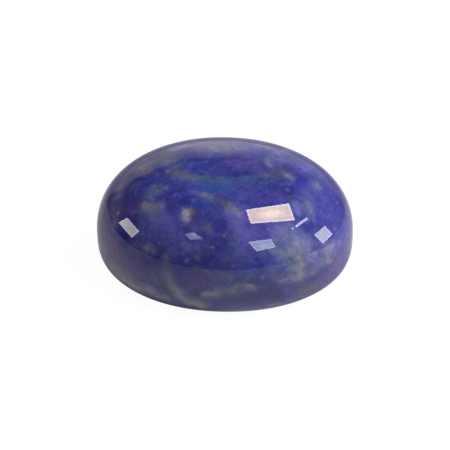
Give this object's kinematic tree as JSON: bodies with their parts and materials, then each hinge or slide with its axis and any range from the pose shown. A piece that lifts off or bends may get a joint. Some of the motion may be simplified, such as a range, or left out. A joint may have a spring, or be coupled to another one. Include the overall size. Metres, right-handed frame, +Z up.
{
  "type": "lapis lazuli cabochon",
  "caption": "Oval gemstone cabochon with a smooth high dome, rounded sides and a flat ground back that it rests on.",
  "frame": {"origin": "centre of the flat back that the stone rests on", "axes": "+X along the stone's length, +Y across its width, +Z up out of the dome; the side that faces the viewer is -Y"},
  "size_m": [0.02, 0.015, 0.0093],
  "materials": {
    "polished_lapis": "polished"
  },
  "bodies": {
    "root": {"cabochon": "polished_lapis"}
  },
  "joints": []
}
